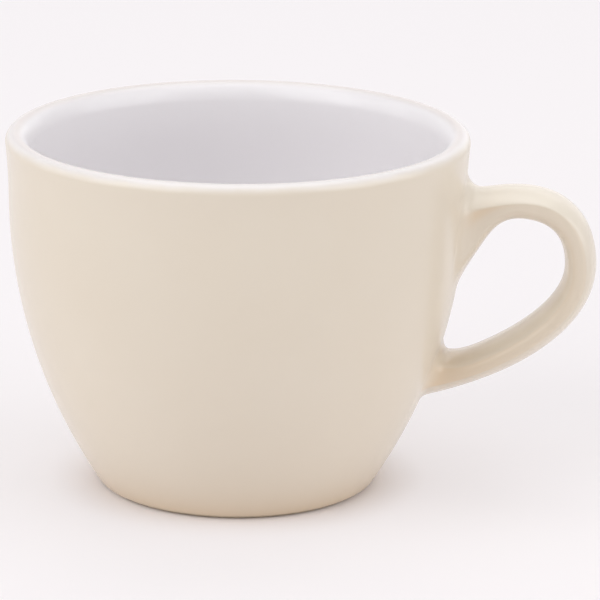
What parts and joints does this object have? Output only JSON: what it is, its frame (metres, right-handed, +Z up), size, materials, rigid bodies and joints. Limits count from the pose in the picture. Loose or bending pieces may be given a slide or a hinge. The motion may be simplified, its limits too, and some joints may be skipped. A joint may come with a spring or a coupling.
{
  "type": "espresso cup",
  "caption": "Small round-sided ceramic cup with a rolled lip, a narrow foot ring and a loop handle, cream glazed outside and white inside, for espresso.",
  "frame": {"origin": "on the table, under the middle of the whole length with the handle included", "axes": "+X towards the handle, +Y to the back, +Z up along the axis of the bowl"},
  "size_m": [0.0847, 0.0664, 0.052],
  "materials": {
    "fired_clay": "bare fired clay, matt and fine-grained",
    "joint_slip": "fired joining slip, matt",
    "white_glaze": "glossy white glaze",
    "cream_glaze": "glossy warm cream glaze"
  },
  "bodies": {
    "root": {"cup_body": "fired_clay", "handle": "fired_clay", "upper_joint_slip": "joint_slip", "lower_joint_slip": "joint_slip", "inner_glaze": "white_glaze", "outer_glaze": "cream_glaze", "base_glaze": "cream_glaze"}
  },
  "joints": []
}
